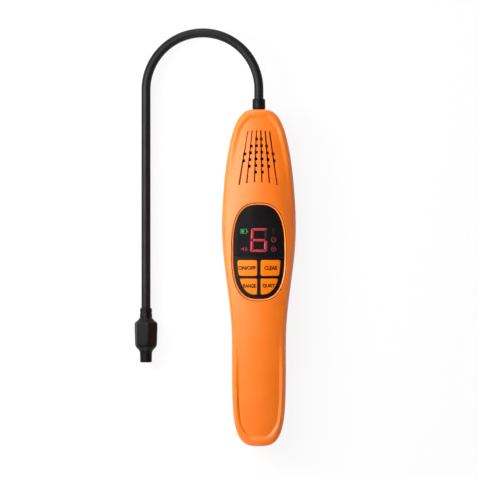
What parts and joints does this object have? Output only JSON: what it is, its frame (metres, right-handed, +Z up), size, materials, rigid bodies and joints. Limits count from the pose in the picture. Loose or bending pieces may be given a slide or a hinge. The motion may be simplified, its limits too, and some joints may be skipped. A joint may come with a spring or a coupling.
{
  "type": "refrigerant leak detector",
  "caption": "Hand-held refrigerant leak detector lying on its back: orange handset with vent grille, digit display and keys, and a gooseneck probe bent over to a sensor tip.",
  "frame": {"origin": "on the flat back of the handset, half way along its length, in the plane that it lies on", "axes": "+Z up out of the face, +Y from the tail towards the head where the probe comes out, +X to the right when the face is seen with the head up"},
  "size_m": [0.111, 0.2861, 0.0339],
  "materials": {
    "shell": "satin moulded plastic",
    "key": "satin moulded plastic",
    "panel": "fine matt plastic",
    "window": "polished dark plastic",
    "lit_red": "lit from behind",
    "lit_green": "lit from behind",
    "unlit": "unlit",
    "board": "lacquered board",
    "black_part": "plain moulded plastic",
    "sleeve": "smooth rubber-like sleeve",
    "tip": "satin moulded plastic",
    "gland": "satin rubber-like plastic",
    "steel": "plain",
    "cell": "plain sleeve",
    "lead": "insulated wire",
    "pale_plastic": "plain moulded plastic",
    "felt": "felt"
  },
  "bodies": {
    "handset": {"front_shell": "shell", "rear_shell": "shell", "key_frame": "panel", "display_window": "window", "switch_bases": "black_part", "main_board": "board", "display_module": "black_part", "digit_bars": "lit_red", "idle_bar": "unlit", "battery_mark": "lit_green", "alarm_marks": "lit_red", "idle_mark": "unlit", "buzzer": "black_part", "battery_tray": "black_part", "left_cell": "cell", "right_cell": "cell", "cell_springs": "steel", "cell_contacts": "steel", "case_screws": "steel", "board_screws": "steel", "tray_screws": "steel", "probe_gland": "gland", "gooseneck_sleeve": "sleeve", "gooseneck_core": "steel", "probe_lead": "lead", "lead_connector": "pale_plastic", "probe_ferrule": "tip", "sensor_socket": "pale_plastic", "sensor_can": "steel"},
    "power_button": {"power_key": "key", "power_plunger": "black_part"},
    "reset_button": {"reset_key": "key", "reset_plunger": "black_part"},
    "sensitivity_button": {"sensitivity_key": "key", "sensitivity_plunger": "black_part"},
    "mute_button": {"mute_key": "key", "mute_plunger": "black_part"},
    "sliding_cover": {"battery_cover": "shell"},
    "pull_off_cap": {"sensor_cap": "tip", "sensor_filter": "felt"}
  },
  "joints": [
    {"name": "power_press", "type": "slide", "parent": "handset", "child": "power_button", "axis": [0, 0, -1], "range_m": [0, 0.0006], "stiffness_N_per_m": 1500, "springref_m": -0.0005},
    {"name": "reset_press", "type": "slide", "parent": "handset", "child": "reset_button", "axis": [0, 0, -1], "range_m": [0, 0.0006], "stiffness_N_per_m": 1500, "springref_m": -0.0005},
    {"name": "sensitivity_press", "type": "slide", "parent": "handset", "child": "sensitivity_button", "axis": [0, 0, -1], "range_m": [0, 0.0006], "stiffness_N_per_m": 1500, "springref_m": -0.0005},
    {"name": "mute_press", "type": "slide", "parent": "handset", "child": "mute_button", "axis": [0, 0, -1], "range_m": [0, 0.0006], "stiffness_N_per_m": 1500, "springref_m": -0.0005},
    {"name": "cover_slide", "type": "slide", "parent": "handset", "child": "sliding_cover", "axis": [0, -1, 0], "range_m": [0, 0.105]},
    {"name": "cap_pull", "type": "slide", "parent": "handset", "child": "pull_off_cap", "axis": [0, -1, 0], "range_m": [0, 0.04]}
  ]
}
